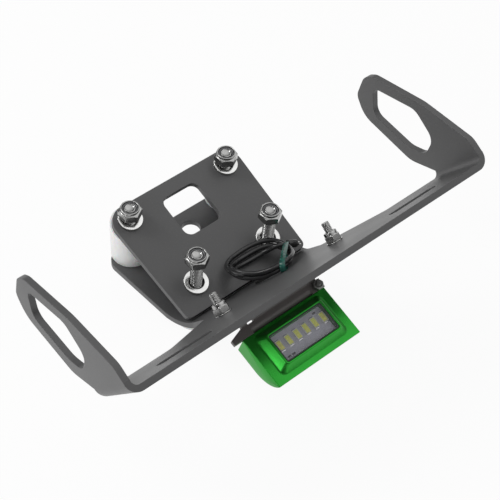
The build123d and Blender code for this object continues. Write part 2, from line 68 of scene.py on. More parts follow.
# Sizes shared with the solids, in millimetres and radians
SHEET = 3.0
BEND_Y = -29.2
BEND = math.radians(53.2)
PLATE = 3.0
PITCH = math.radians(16.8)
PLATE_RISE = 20.2
BOLTS = {
    "far_left": (-28.8, 20.3),
    "far_right": (28.8, 20.3),
    "near_left": (-21.8, -20.3),
    "near_right": (21.8, -20.3),
}
BOLT_Y = 20.3
SHORT_SPACER = 10.0
NUT_BASE = 26.9
NUT_HEIGHT = 5.5
COLLAR_HEIGHT = 1.3
BOLT_TIP = 32.0
WASHER_THICK = 1.6
BAR_SCREW_X = 33.0
BAR_SCREW_S = 39.0
STRAP = 2.0
LAMP_LEAN = math.radians(15.1)
LAMP_FRONT = (-83.3, 2.0)
LAMP_HALF = 24.7
LAMP_DEPTH = 27.0
LAMP_HEIGHT = 10.8
LAMP_FLAT = 14.0
LAMP_NOSE = 0.8
BEZEL_RISE = 4.4
LENS_MIDDLE = 13.95
POCKET_DEPTH = 4.1
BOARD_THICK = 1.2
LED_COUNT = 6
LED_PITCH = 5.2
LED_ROW = 15.1
LED_SHIFT = 0.3
LAMP_SCREW_X = 12.0
LAMP_SCREW_DROP = 6.4
CLAMP_X = 22.4
CLAMP_V = 29.1

# Fasteners' own sizes, in millimetres, and the columns of a turned piece
COLUMNS = 48
M6_FLATS = 10.0
M6_HEAD = 4.0
M6_CREST = 5.96
NUT_BORE = 3.02
COLLAR_OUTER = 4.5
COLLAR_INNER = 3.84
COLLAR_ROLL = 0.33
BAR_REACH = 10.2
BAR_WASHER = 0.5


def slope_point(x, s, h):
    """Point of the sloping sheet, in mm: x across, s up the slope, h above its upper face."""
    return np.stack(np.broadcast_arrays(
        x,
        BEND_Y - s * math.cos(BEND) + h * math.sin(BEND),
        s * math.sin(BEND) + h * math.cos(BEND),
    ), -1)


def plate_point(x, y, h):
    """Where the upright line at (x, y) meets the plane h above the upper plate's lower face."""
    return np.array([x, y, PLATE_RISE + (y - BOLT_Y) * math.tan(PITCH) + h / math.cos(PITCH)])


def lamp_point(x, v, w):
    """Point of the lamp, in mm: x across, v back from its front edge, w above its rim."""
    return np.stack(np.broadcast_arrays(
        x,
        LAMP_FRONT[0] + v * math.cos(LAMP_LEAN) - w * math.sin(LAMP_LEAN),
        LAMP_FRONT[1] + v * math.sin(LAMP_LEAN) + w * math.cos(LAMP_LEAN),
    ), -1)


SLOPE_UP = (0, math.sin(BEND), math.cos(BEND))
PLATE_UP = (0, -math.sin(PITCH), math.cos(PITCH))
LAMP_BACK = (0, math.cos(LAMP_LEAN), math.sin(LAMP_LEAN))
LAMP_UP = (0, -math.sin(LAMP_LEAN), math.cos(LAMP_LEAN))


# Settings

def colour_setting(name, description, default):
    """A colour that a user may change."""
    return bpy.props.FloatVectorProperty(
        name=name, description=description, default=default, subtype="COLOR", size=3, min=0, max=1
    )


def length_setting(name, description, default):
    """A length in metres that a user may change."""
    return bpy.props.FloatProperty(
        name=name, description=description, default=default, unit="LENGTH", min=0, precision=5
    )


def share_setting(name, description, default):
    """A plain number from 0 to 1."""
    return bpy.props.FloatProperty(
        name=name, description=description, default=default, subtype="FACTOR", min=0, max=1
    )


class SteelSettings(bpy.types.PropertyGroup):
    coat: colour_setting("Coat", "Colour of the textured coat", (0.089, 0.089, 0.09))
    strap_coat: colour_setting("Strap coat", "Coat of the lamp's strap", (0.12, 0.108, 0.106))
    roughness: share_setting("Roughness", "Roughness of the coat", 0.4)
    grain: length_setting("Grain", "Size of the coat's grain", 0.0005)
    edge: length_setting("Edge round", "Radius seen on the sheet's edges", 0.0005)


class FastenerSettings(bpy.types.PropertyGroup):
    zinc: colour_setting("Zinc", "Colour of the bright zinc plate", (0.72, 0.72, 0.71))
    # Painted shade: a darker copy of the zinc colour for the bolts' threads and the nuts, standing in for
    # their shade and dark reflections.
    shaded_zinc: colour_setting("Shaded zinc", "Colour of the bolts' threads and the nuts", (0.4, 0.4, 0.395))
    dull: colour_setting("Dull zinc", "Colour of the small screw and nut at the lamp", (0.2, 0.2, 0.195))
    roughness: share_setting("Roughness", "Roughness of the zinc", 0.2)
    m6_pitch: length_setting("Bolt thread", "Pitch of the mounting bolts", 0.001)
    m4_pitch: length_setting("Bar screw thread", "Pitch of the bar screws", 0.0007)
    m3_pitch: length_setting("Small screw thread", "Pitch of the lamp's screws", 0.0005)
    ring: colour_setting("Locking ring", "Colour of the nylon in the lock nuts", (0.11, 0.11, 0.115))


class SpacerSettings(bpy.types.PropertyGroup):
    nylon: colour_setting("Nylon", "Colour of the turned spacers", (0.93, 0.93, 0.925))
    edge: length_setting("Edge", "Break on the spacers' edges", 0.0005)
    diameter: length_setting("Diameter", "Outside diameter of the spacers", 0.0193)


class LampSettings(bpy.types.PropertyGroup):
    green: colour_setting("Housing", "Colour of the anodised housing", (0.028, 0.32, 0.035))
    roughness: share_setting("Roughness", "Roughness of the anodised finish", 0.3)
    board: colour_setting("Board", "Colour of the lamp's board", (0.5, 0.5, 0.57))
    phosphor: colour_setting("Phosphor", "Colour of the light chips' resin", (0.86, 0.86, 0.14))
    chip: colour_setting("Chip", "Colour of the light chips' bodies", (0.62, 0.63, 0.60))
    seal: colour_setting("Seal", "Colour of the seal round the window", (0.035, 0.06, 0.04))
    window: colour_setting("Window", "Tint of the clear window", (0.80, 0.80, 0.86))
    led_width: length_setting("Chip width", "Width of a light chip", 0.003)
    led_length: length_setting("Chip length", "Length of a light chip", 0.0052)


class CableSettings(bpy.types.PropertyGroup):
    sheath: colour_setting("Sheath", "Colour of the cable's sheath", (0.022, 0.022, 0.023))
    diameter: length_setting("Diameter", "Diameter of the cable", 0.0023)
    spread: share_setting("Spread", "How far the turns fan out away from the tie", 0.35)
    tie: colour_setting("Tie", "Colour of the flat tie", (0.015, 0.1, 0.078))
    rubber: colour_setting("Rubber", "Colour of the grommet and the board's parts", (0.02, 0.02, 0.02))


class StageSettings(bpy.types.PropertyGroup):
    floor: colour_setting("Floor", "Colour of the floor", (0.98, 0.98, 0.98))
    glow: share_setting("Glow", "Share of the floor's own white where it is seen", 0.93)
    sky: share_setting("Sky", "Strength of the even light", 0.52)
    key: bpy.props.FloatProperty(
        name="Key", description="Power of the key light", default=5.0, unit="POWER", min=0
    )
    lens: bpy.props.FloatProperty(
        name="Lens", description="Focal length", default=95.4, unit="CAMERA", min=10
    )


# Surfaces

def skin(points, wrap_rows=False):
    """Closed skin over a grid of points. Columns join round, and the rows either join round too
    or end in a fan about the middle of the first and last row. Faces are turned outwards by the
    sign of the volume that they enclose."""
    rows, cols = points.shape[:2]
    spots = points.reshape(-1, 3)
    index = np.arange(rows * cols).reshape(rows, cols)
    low = index if wrap_rows else index[:-1]
    high = np.roll(index, -1, 0) if wrap_rows else index[1:]
    quads = np.stack([low, np.roll(low, -1, 1), np.roll(high, -1, 1), high], -1).reshape(-1, 4)
    faces = np.concatenate([quads[:, [0, 1, 2]], quads[:, [0, 2, 3]]])
    if not wrap_rows:
        spots = np.concatenate([spots, points[0].mean(0)[None], points[-1].mean(0)[None]])
        first, last = index[0], index[-1]
        start = np.full(cols, rows * cols)
        fans = [
            np.stack([start, np.roll(first, -1), first], -1),
            np.stack([start + 1, last, np.roll(last, -1)], -1),
        ]
        faces = np.concatenate([faces, *fans])
    a, b, c = spots[faces[:, 0]], spots[faces[:, 1]], spots[faces[:, 2]]
    if np.einsum("ij,ij->i", a, np.cross(b, c)).sum() < 0:
        faces = faces[:, ::-1]
    return spots, faces


def placed(points, origin, up, across=(1, 0, 0)):
    """Points of a piece's own axes set at an origin, its z along up and its x along across."""
    z = np.array(up, float) / np.linalg.norm(up)
    x = np.array(across, float)
    x = x - z * (x @ z)
    x /= np.linalg.norm(x)
    return np.array(origin) + points @ np.stack([x, np.cross(z, x), z])


def turned(radius, height, columns=COLUMNS):
    """Points at an angle round z for each column and a radius and height for each row."""
    angle = np.linspace(0, TURN, columns, endpoint=False)
    height = np.asarray(height, float)
    radius = np.broadcast_to(np.asarray(radius, float).reshape(len(height), -1), (len(height), columns))
    return np.stack([
        radius * np.cos(angle), radius * np.sin(angle), np.repeat(height[:, None], columns, 1)
    ], -1)


def hexagon(flats, turn):
    """Radius of a hexagon: half its flats over the cosine of the angle to the nearest flat."""
    angle = np.linspace(0, TURN, COLUMNS, endpoint=False)
    nearest = (angle - turn + math.pi / 6) % (math.pi / 3) - math.pi / 6
    return flats / 2 / np.cos(nearest)


def chamfered_hex(flats, low, high, turn):
    """Rows of a hexagonal prism whose corners are cut by a 30 degree cone at both ends."""
    slope = math.tan(math.pi / 6)
    corner = flats / 2 / math.cos(math.pi / 6)
    land = 0.95 * flats / 2
    steps = np.linspace(0, (corner - land) * slope, 5)
    height = np.concatenate([low + steps, high - steps[::-1]])
    cone = land + np.minimum(high - height, height - low) / slope
    return np.minimum(hexagon(flats, turn)[None], cone[:, None]), height


def thread(low, high, diameter, pitch):
    """Rows of a right-hand screw thread. The radius goes from root to crest and back as height
    over pitch, less the share of the turn, goes from 0 to 1. A cone breaks the tip."""
    angle = np.linspace(0, TURN, COLUMNS, endpoint=False)
    height = np.linspace(low, high, int((high - low) / pitch * 6))
    phase = (height[:, None] / pitch - angle[None] / TURN) % 1
    tooth = np.clip((np.abs(2 * phase - 1) - 0.1) / 0.75, 0, 1)
    radius = diameter / 2 - 0.55 * pitch * (1 - tooth)
    cone = diameter / 2 - 0.6 * pitch + (high - height)
    return np.minimum(radius, cone[:, None]), height


def dished_tip(high, diameter, pitch):
    """Rows that hollow a bolt's end: an ellipse's quarter, 0.12 of the diameter deep."""
    rim = diameter / 2 - 0.6 * pitch
    sweep = np.linspace(0, 0.47 * math.pi, 6)[1:]
    return rim * np.cos(sweep), high - 0.12 * diameter * np.sin(sweep)


def stacked(*runs):
    """Runs of rows, each a radius and a height, one after the other."""
    return np.concatenate([turned(radius, height) for radius, height in runs])


def rounded_box(half_x, half_y, corner, steps):
    """Outline of a rounded rectangle: four quarter circles in order, joined by straight runs."""
    angle = np.linspace(0, math.pi / 2, steps)[None] + np.arange(4)[:, None] * math.pi / 2
    sign_x = np.array([1, -1, -1, 1])[:, None]
    sign_y = np.array([1, 1, -1, -1])[:, None]
    x = sign_x * (half_x - corner) + corner * np.cos(angle)
    y = sign_y * (half_y - corner) + corner * np.sin(angle)
    return np.stack([x.ravel(), y.ravel()], -1)


def eased(corners, cuts, steps):
    """Outline with each corner replaced by a parabola between the points that lie its cut away
    along its two edges."""
    cuts = cuts[:, None]
    before = np.roll(corners, 1, 0) - corners
    after = np.roll(corners, -1, 0) - corners
    start = corners + before / np.linalg.norm(before, axis=1)[:, None] * cuts
    end = corners + after / np.linalg.norm(after, axis=1)[:, None] * cuts
    t = np.linspace(0, 1, steps)[None, :, None]
    bent = (1 - t) ** 2 * start[:, None] + 2 * t * (1 - t) * corners[:, None] + t ** 2 * end[:, None]
    return bent.reshape(-1, 2)


def inward(outline):
    """Unit vectors square to a closed outline, pointing into it."""
    along = np.roll(outline, -1, 0) - np.roll(outline, 1, 0)
    square = np.stack([-along[:, 1], along[:, 0]], -1)
    square /= np.linalg.norm(square, axis=1)[:, None]
    x, y = outline[:, 0], outline[:, 1]
    area = (x * np.roll(y, -1) - np.roll(x, -1) * y).sum()
    return square * np.sign(area)


def add_object(name, data):
    """Puts a new object into the scene."""
    made = bpy.data.objects.new(name, data)
    bpy.context.scene.collection.objects.link(made)
    return made


def add_piece(name, skins, material, replaced=(), smooth=40):
    """Makes one piece from closed skins given in mm, with its material and body."""
    counts = np.cumsum([0] + [len(s[0]) for s in skins])
    spots = np.concatenate([s[0] for s in skins]) * MM
    faces = np.concatenate([s[1] + n for s, n in zip(skins, counts)])
    mesh = bpy.data.meshes.new(name)
    mesh.from_pydata(spots.tolist(), [], faces.tolist())
    mesh.polygons.foreach_set("use_smooth", np.ones(len(faces), bool))
    mesh.set_sharp_from_angle(angle=math.radians(smooth))
    mesh.materials.append(material)
    piece = add_object(name, mesh)
    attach(piece, BODY)
    if replaced:
        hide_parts(*replaced)
    return piece


# Materials

def put(tree, kind, sockets=None, **settings):
    """Adds a node, sets its settings, and links or sets its sockets."""
    made = tree.nodes.new(kind)
    for key, value in settings.items():
        setattr(made, key, value)
    for key, value in (sockets or {}).items():
        socket = made.inputs[key]
        if isinstance(value, bpy.types.NodeSocket):
            tree.links.new(value, socket)
        else:
            socket.default_value = value
    return made


def empty_tree(owner):
    """The node tree of a new material or world, with nothing in it."""
    owner.use_nodes = True
    owner.node_tree.nodes.clear()
    return owner.node_tree


def math_node(tree, operation, first, second):
    """Output of a maths node on two values or sockets."""
    return put(tree, "ShaderNodeMath", {0: first, 1: second}, operation=operation).outputs[0]


def blend_colour(tree, share, first, second):
    """Colour between two colours."""
    return put(tree, "ShaderNodeMix", {0: share, 6: first, 7: second}, data_type="RGBA").outputs[2]


def blend_value(tree, share, low, high):
    """Value between two values, or between two sockets, as share goes from 0 to 1."""
    return put(tree, "ShaderNodeMapRange", {0: share, 3: low, 4: high}).outputs[0]


def rgba(colour, gain=1.0):
    """Colour with its alpha, brighter or darker by gain."""
    return tuple(min(1.0, c * gain) for c in colour) + (1.0,)


def new_group(name, label, default, outputs):
    """An empty shader node group with one named input and its named outputs."""
    tree = bpy.data.node_groups.new(name, "ShaderNodeTree")
    given = tree.interface.new_socket(label, in_out="INPUT", socket_type="NodeSocketFloat")
    given.default_value = default
    for label, kind in outputs:
        tree.interface.new_socket(label, in_out="OUTPUT", socket_type=kind)
    return tree, tree.nodes.new("NodeGroupInput"), tree.nodes.new("NodeGroupOutput")


def grain_group():
    """Grain on object coordinates: noise of a set size, with a rarer fleck."""
    tree, given, out = new_group(
        "Fine grain", "Size", 0.0005, [("Height", "NodeSocketFloat"), ("Fleck", "NodeSocketFloat")]
    )
    spot = put(tree, "ShaderNodeTexCoord").outputs["Object"]
    scale = math_node(tree, "DIVIDE", 1.0, given.outputs["Size"])
    noise = put(tree, "ShaderNodeTexNoise", {"Vector": spot, "Scale": scale, "Detail": 2.0})
    coarse = math_node(tree, "MULTIPLY", scale, 0.4)
    cells = put(tree, "ShaderNodeTexVoronoi", {"Vector": spot, "Scale": coarse})
    near = {0: cells.outputs["Distance"], 1: 0.0, 2: 0.35, 3: 1.0, 4: 0.0}
    fleck = put(tree, "ShaderNodeMapRange", near)
    tree.links.new(noise.outputs["Fac"], out.inputs["Height"])
    tree.links.new(fleck.outputs[0], out.inputs["Fleck"])
    return tree


def patch_group():
    """Slow change over the surface, from 0 to 1, by noise of a set size."""
    tree, given, out = new_group("Patches", "Size", 0.02, [("Share", "NodeSocketFloat")])
    spot = put(tree, "ShaderNodeTexCoord").outputs["Object"]
    scale = math_node(tree, "DIVIDE", 1.0, given.outputs["Size"])
    noise = put(tree, "ShaderNodeTexNoise", {"Vector": spot, "Scale": scale, "Detail": 3.0})
    share = put(tree, "ShaderNodeMapRange", {0: noise.outputs["Fac"], 1: 0.3, 2: 0.7})
    tree.links.new(share.outputs[0], out.inputs["Share"])
    return tree


def edge_group():
    """Rounded normal near edges, and a mask that is 1 where it departs from the flat one."""
    tree, given, out = new_group(
        "Soft edge", "Radius", 0.0004, [("Normal", "NodeSocketVector"), ("Edge", "NodeSocketFloat")]
    )
    bevel = put(tree, "ShaderNodeBevel", {"Radius": given.outputs["Radius"]}, samples=6)
    flat = put(tree, "ShaderNodeNewGeometry").outputs["Normal"]
    dot = put(tree, "ShaderNodeVectorMath", {0: bevel.outputs[0], 1: flat}, operation="DOT_PRODUCT")
    edge = put(tree, "ShaderNodeMapRange", {0: dot.outputs["Value"], 1: 0.98, 2: 0.75})
    tree.links.new(bevel.outputs[0], out.inputs["Normal"])
    tree.links.new(edge.outputs[0], out.inputs["Edge"])
    return tree


def use_group(tree, name, **values):
    """Places a shared group in a material with its own values."""
    makers = {"Fine grain": grain_group, "Patches": patch_group, "Soft edge": edge_group}
    group = bpy.data.node_groups.get(name) or makers[name]()
    sockets = {key.capitalize(): value for key, value in values.items()}
    return put(tree, "ShaderNodeGroup", sockets, node_tree=group).outputs


def finish_material(
    name, colour, roughness, grain=0.0006, depth=0.00001, patch=0.003, change=0.12,
    edge=0.0, edge_highlight=1.0, fleck=0.0, constants=None,
):
    """One finish: colour that drifts in patches, carries flecks and is lightened on edges by a painted
    highlight, roughness that follows the patches, and a fine grain raised by depth."""
    if name in bpy.data.materials:
        return bpy.data.materials[name]
    material = bpy.data.materials.new(name)
    tree = empty_tree(material)
    shader = put(tree, "ShaderNodeBsdfPrincipled", constants)
    put(tree, "ShaderNodeOutputMaterial", {"Surface": shader.outputs[0]})
    fine = use_group(tree, "Fine grain", size=grain)
    share = use_group(tree, "Patches", size=patch)["Share"]
    tone = blend_colour(tree, share, rgba(colour, 1 - change), rgba(colour, 1 + change))
    if fleck:
        amount = math_node(tree, "MULTIPLY", fine["Fleck"], fleck)
        tone = blend_colour(tree, amount, tone, rgba(colour, 2.2))
    rough = blend_value(tree, share, roughness * 0.9, min(1.0, roughness * 1.12))
    bump = put(tree, "ShaderNodeBump", {"Height": fine["Height"], "Distance": depth, "Strength": 1.0})
    if edge:
        soft = use_group(tree, "Soft edge", radius=edge)
        tree.links.new(soft["Normal"], bump.inputs["Normal"])
        # Painted highlight: the colour is raised by edge_highlight where the rounded normal leaves the
        # flat one.
        tone = blend_colour(tree, soft["Edge"], tone, rgba(colour, edge_highlight))
    for label, value in (("Base Color", tone), ("Roughness", rough), ("Normal", bump.outputs[0])):
        tree.links.new(value, shader.inputs[label])
    return material


def coat_material(settings, name, colour):
    """Satin powder coat with a fine grain, made paler on the edges by a painted highlight."""
    return finish_material(
        name, colour, settings.roughness, settings.grain, depth=0.00002,
        patch=0.03, change=0.06, edge=settings.edge, edge_highlight=1.5, fleck=0.12,
    )


def zinc_material(settings):
    """Bright zinc plate with faint cloudiness and a faint painted highlight on its edges."""
    return finish_material(
        "Bright zinc", settings.zinc, settings.roughness, depth=0.000004,
        patch=0.004, change=0.08, edge=0.00015, edge_highlight=1.1, constants={"Metallic": 1.0},
    )


def shaded_zinc_material(settings):
    """The bright zinc darkened into painted shade and dark reflection for the threads and the nuts'
    sides, with a painted highlight on its edges.
    """
    return finish_material(
        "Shaded zinc", settings.shaded_zinc, settings.roughness, depth=0.000004,
        edge=0.0003, edge_highlight=1.9, constants={"Metallic": 1.0},
    )


def rubber_material(settings):
    """Matt black rubber."""
    return finish_material("Black rubber", settings.rubber, roughness=0.6, grain=0.0003, patch=0.004)


def paint_node(name, material):
    """Gives a carried solid its material."""
    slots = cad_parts[name].data.materials
    slots.clear()
    slots.append(material)


class TIDY_OT_coat_steel(bpy.types.Operator):
    """Coat the bracket, the upper plate and the lamp's strap"""
    bl_idname = "tail_tidy.coat_steel"
    bl_label = "Coat the steel"

    def execute(self, context):
        settings = context.scene.tidy_steel
        coat = coat_material(settings, "Textured coat", settings.coat)
        paint_node("main_bracket", coat)
        paint_node("top_plate", coat)
        paint_node("lamp_bracket", coat_material(settings, "Strap coat", settings.strap_coat))
        return {"FINISHED"}


class TIDY_OT_fit_bolts(bpy.types.Operator):
    """Make the four mounting bolts with chamfered heads and cut threads"""
    bl_idname = "tail_tidy.fit_bolts"
    bl_label = "Fit the bolts"

    def execute(self, context):
        settings = context.scene.tidy_fasteners
        shaded_zinc = shaded_zinc_material(settings)
        for name, (x, y) in BOLTS.items():
            under = -SHEET if name.startswith("far") else -SHEET - SHORT_SPACER
            head = chamfered_hex(M6_FLATS, under - M6_HEAD, under, math.pi / 6)
            shank = thread(under, BOLT_TIP, M6_CREST, settings.m6_pitch / MM)
            tip = dished_tip(BOLT_TIP, M6_CREST, settings.m6_pitch / MM)
            points = stacked(head, shank, tip) + np.array([x, y, 0])
            add_piece("threaded_bolt_" + name, [skin(points)], shaded_zinc, ["bolt_" + name])
        return {"FINISHED"}


class TIDY_OT_fit_lock_nuts(bpy.types.Operator):
    """Make the four lock nuts: hexagon, rolled collar and nylon ring"""
    bl_idname = "tail_tidy.fit_lock_nuts"
    bl_label = "Fit the lock nuts"

    def execute(self, context):
        settings = context.scene.tidy_fasteners
        shaded_zinc = shaded_zinc_material(settings)
        nylon = finish_material(
            "Locking ring", settings.ring, roughness=0.4, grain=0.0005, patch=0.002
        )
        top = NUT_BASE + NUT_HEIGHT
        shoulder = top - COLLAR_HEIGHT
        sweep = np.linspace(0, math.pi, 9)
        outside = ([COLLAR_OUTER, COLLAR_OUTER], [shoulder, top - 0.45])
        roll = (
            COLLAR_OUTER - COLLAR_ROLL + COLLAR_ROLL * np.cos(sweep),
            top - COLLAR_ROLL + COLLAR_ROLL * np.sin(sweep),
        )
        inside = ([COLLAR_INNER, COLLAR_INNER, NUT_BORE], [top - 0.6, shoulder, shoulder])
        bore = ([NUT_BORE, NUT_BORE + 0.38], [NUT_BASE + 0.4, NUT_BASE])
        body = stacked(chamfered_hex(M6_FLATS, NUT_BASE, shoulder, 0), outside, roll, inside, bore)
        ring = turned(
            [2.95, 3.8, 3.8, 3.6, 3.2, 2.95],
            shoulder + np.array([0.05, 0.05, 0.5, 0.78, 0.62, 0.4]),
        )
        for name, (x, y) in BOLTS.items():
            at = np.array([x, y, 0])
            add_piece("lock_nut_" + name, [skin(body + at, True)], shaded_zinc, ["nut_" + name])
            add_piece("nylon_ring_" + name, [skin(ring + at, True)], nylon,
                      ["nut_ring_" + name])
        return {"FINISHED"}


def washer_rows(bore, outer, thick, edge=0.25):
    """Rows of a flat ring with broken edges."""
    near = edge * 0.3
    return turned(
        [bore, bore + edge, outer - edge, outer - near, outer, outer, outer - near, outer - edge,
         bore + edge, bore],
        [edge, 0, 0, near, edge, thick - edge, thick - near, thick, thick, thick - edge],
        64,
    )


class TIDY_OT_fit_washers(bpy.types.Operator):
    """Make the washers that lie on the pitched plate"""
    bl_idname = "tail_tidy.fit_washers"
    bl_label = "Fit the washers"

    def execute(self, context):
        zinc = zinc_material(context.scene.tidy_fasteners)
        for name, (x, y) in BOLTS.items():
            centre = plate_point(x, y, PLATE + WASHER_THICK / 2)
            base = centre - np.array(PLATE_UP) * WASHER_THICK / 2
            points = placed(washer_rows(bore=3.65, outer=6.0, thick=WASHER_THICK), base, PLATE_UP)
            add_piece("flat_washer_" + name, [skin(points, True)], zinc, ["washer_" + name])
        return {"FINISHED"}


class TIDY_OT_fit_spacers(bpy.types.Operator):
    """Make the white spacers: two tall ones cut to the plate's pitch and two short ones"""
    bl_idname = "tail_tidy.fit_spacers"
    bl_label = "Fit the spacers"

    def execute(self, context):
        settings = context.scene.tidy_spacers
        nylon = finish_material(
            "Turned nylon", settings.nylon, roughness=0.42, depth=0.000006, patch=0.006, change=0.03,
            constants={"Subsurface Weight": 0.12, "Subsurface Scale": 0.003},
        )
        outer = settings.diameter / MM / 2
        edge = settings.edge / MM
        near = edge * 0.3
        bore = 3.3
        radius = [bore, outer - edge, outer - near, outer, outer, outer - near, outer - edge, bore]
        lift = np.array([0, 0, near, edge, -edge, -near, 0, 0])
        upper = np.arange(8) > 3
        ring = turned(radius, np.zeros(8), 96)
        for name, (x, y) in BOLTS.items():
            points = ring + np.array([x, y, 0])
            tall = name.startswith("far")
            bottom = 0.0 if tall else -SHEET - SHORT_SPACER
            top = PLATE_RISE + (points[..., 1] - BOLT_Y) * math.tan(PITCH) if tall else -SHEET
            points[..., 2] = np.where(upper[:, None], top, bottom) + lift[:, None]
            kind = "tall_spacer_" if tall else "short_spacer_"
            side = name.split("_")[1]
            add_piece("nylon_" + kind + side, [skin(points, True)], nylon, [kind + side])
        return {"FINISHED"}


def button_screw(head, head_height, socket, diameter, length, pitch):
    """A dome-headed screw with a hexagonal socket, its threaded shank up z from the head's seat."""
    dome = np.linspace(0, math.pi / 2, 6)
    key = hexagon(socket, 0)
    depth = head_height * 0.55
    top = socket * 0.62
    return stacked(
        (np.stack([key * 0.05, key, key]), [depth - head_height, depth - head_height, -head_height]),
        (top + (head / 2 - top) * np.sin(dome), -head_height * np.cos(dome)),
        thread(0, length, diameter, pitch),
    )


def plain_nut(flats, thick, bore):
    """Rows of a plain hexagon nut, a flat square to y, chamfered at both ends, with its bore."""
    hexed = chamfered_hex(flats, 0, thick, math.pi / 6)
    return stacked(hexed, ([bore + 0.3, bore, bore, bore + 0.3], [thick, thick - 0.3, 0.3, 0]))


def collared_nut(flats, thick, collar, collar_height, bore):
    """Rows of a lock nut: a chamfered hexagon, then a rolled collar that closes on its bore."""
    shoulder = thick - collar_height
    roll = np.linspace(0, math.pi / 2, 7)
    rolled = (collar / 2 - 0.5 + 0.5 * np.cos(roll), thick - 0.5 + 0.5 * np.sin(roll))
    return stacked(
        chamfered_hex(flats, 0, shoulder, math.pi / 6), ([collar / 2], [shoulder]), rolled,
        ([bore + 0.5, bore, bore, bore + 0.3], [thick, thick - 0.4, 0.3, 0]),
    )


class TIDY_OT_fit_bar_screws(bpy.types.Operator):
    """Make the two screws, washers and nuts that hold the lamp's strap to the bar"""
    bl_idname = "tail_tidy.fit_bar_screws"
    bl_label = "Fit the bar screws"

    def execute(self, context):
        settings = context.scene.tidy_fasteners
        shaded_zinc = shaded_zinc_material(settings)
        screw = button_screw(
            head=7.6, head_height=2.4, socket=2.5, diameter=3.96,
            length=SHEET + STRAP + BAR_REACH, pitch=settings.m4_pitch / MM,
        )
        washer = washer_rows(bore=2.2, outer=4.0, thick=BAR_WASHER, edge=0.12)
        nut = collared_nut(flats=7.0, thick=5.0, collar=6.4, collar_height=1.8, bore=2.0)
        pieces = (
            ("screw", screw, -SHEET - STRAP, False), ("washer", washer, 0, True),
            ("nut", nut, BAR_WASHER, True),
        )
        for side, sign in (("left", -1), ("right", 1)):
            x = sign * BAR_SCREW_X
            for name, points, lift, wrap in pieces:
                at = placed(points, slope_point(x, BAR_SCREW_S, lift), SLOPE_UP, (-1, 0, 0))
                add_piece(f"strap_{name}_{side}", [skin(at, wrap)], shaded_zinc, [f"bar_{name}_{side}"])
        return {"FINISHED"}


class TIDY_OT_fit_lamp_screws(bpy.types.Operator):
    """Make the screws behind the lamp's seat, and the clamp screw and nut on the shelf"""
    bl_idname = "tail_tidy.fit_lamp_screws"
    bl_label = "Fit the lamp's screws"

    def execute(self, context):
        settings = context.scene.tidy_fasteners
        zinc = zinc_material(settings)
        forward = [-c for c in LAMP_BACK]
        long_screw = button_screw(
            head=5.6, head_height=1.8, socket=2.0, diameter=2.96, length=STRAP + 6.0,
            pitch=settings.m3_pitch / MM,
        )
        pair = [
            skin(placed(long_screw, lamp_point(x, LAMP_DEPTH + STRAP, -LAMP_SCREW_DROP), forward))
            for x in (-LAMP_SCREW_X, LAMP_SCREW_X)
        ]
        add_piece("seat_screws", pair, zinc, ["lamp_screws"])
        dull = finish_material(
            "Dull zinc", settings.dull, roughness=0.38, depth=0.000006, change=0.2,
            constants={"Metallic": 0.85},
        )
        short = button_screw(
            head=4.0, head_height=1.2, socket=1.5, diameter=2.46, length=STRAP + 3.0,
            pitch=settings.m3_pitch / MM * 0.9,
        )
        at = placed(short, lamp_point(CLAMP_X, CLAMP_V, -STRAP), LAMP_UP)
        add_piece("side_screw", [skin(at)], dull, ["clamp_screw"])
        nut = plain_nut(flats=5.0, thick=2.0, bore=1.25)
        nut = placed(nut, lamp_point(CLAMP_X, CLAMP_V, 0.0), LAMP_UP)
        add_piece("side_nut", [skin(nut, True)], dull, ["clamp_nut"])
        return {"FINISHED"}


def lamp_wedge():
    """The housing's wedge: its side outline, swept across with rounded ends. The underside is an
    arc from the flat to the nose, tangent to the flat."""
    radius = (LAMP_FLAT ** 2 + (LAMP_HEIGHT - LAMP_NOSE) ** 2) / (2 * (LAMP_HEIGHT - LAMP_NOSE))
    centre = np.array([LAMP_FLAT, radius - LAMP_HEIGHT])
    end = math.atan2(-LAMP_NOSE - centre[1], -centre[0])
    angle = np.linspace(-math.pi / 2, end, 18)
    arc = centre + radius * np.stack([np.cos(angle), np.sin(angle)], -1)
    corners = np.concatenate([[[0, 0], [LAMP_DEPTH, 0], [LAMP_DEPTH, -LAMP_HEIGHT]], arc])
    cuts = np.array([0.3, 0.35, 0.5] + [0.15] * 17 + [0.3])
    outline = eased(corners, cuts, 4)
    square = inward(outline)
    round_end = 0.45
    bend = np.linspace(0, math.pi / 2, 5)
    across = LAMP_HALF - round_end + round_end * np.cos(bend)
    inset = round_end * (1 - np.sin(bend))
    inset = np.concatenate([inset, inset[::-1]])
    across = np.concatenate([-across, across[::-1]])
    side = outline[None] + square[None] * inset[:, None, None]
    return lamp_point(across[:, None], side[..., 0], side[..., 1])


def lamp_bezel():
    """The raised bezel: rounded rectangles from its base to its rim, with a small hollow fillet at
    the base and a rounded rim, then down inside to below the board. A row is half its width, its
    front, its rear, its corner and its rise."""
    rows = [
        (20.5, 2.7, 25.8, 3.1, -0.3), (20.3, 2.9, 25.6, 2.9, 0.05), (19.95, 3.25, 25.25, 2.6, 0.25),
        (19.6, 3.5, 24.95, 2.5, 0.6), (18.3, 4.45, 23.75, 2.2, 2.2), (17.15, 5.28, 22.72, 2.0, 3.8),
        (16.9, 5.45, 22.47, 1.9, 4.15), (16.65, 5.65, 22.25, 1.8, 4.33), (16.3, 6.0, 21.9, 1.5, 4.4),
        (16.0, 6.3, 21.6, 1.2, 4.4), (15.8, 6.5, 21.4, 1.0, 4.3), (15.7, 6.6, 21.3, 0.9, 4.1),
        (15.7, 6.6, 21.3, 0.9, 2.2), (15.7, 6.6, 21.3, 0.9, -0.3),
    ]
    rings = []
    for half, front, rear, corner, rise in rows:
        outline = rounded_box(half, (rear - front) / 2, corner, 8)
        rings.append(lamp_point(outline[:, 0], outline[:, 1] + (front + rear) / 2, rise))
    return np.stack(rings)


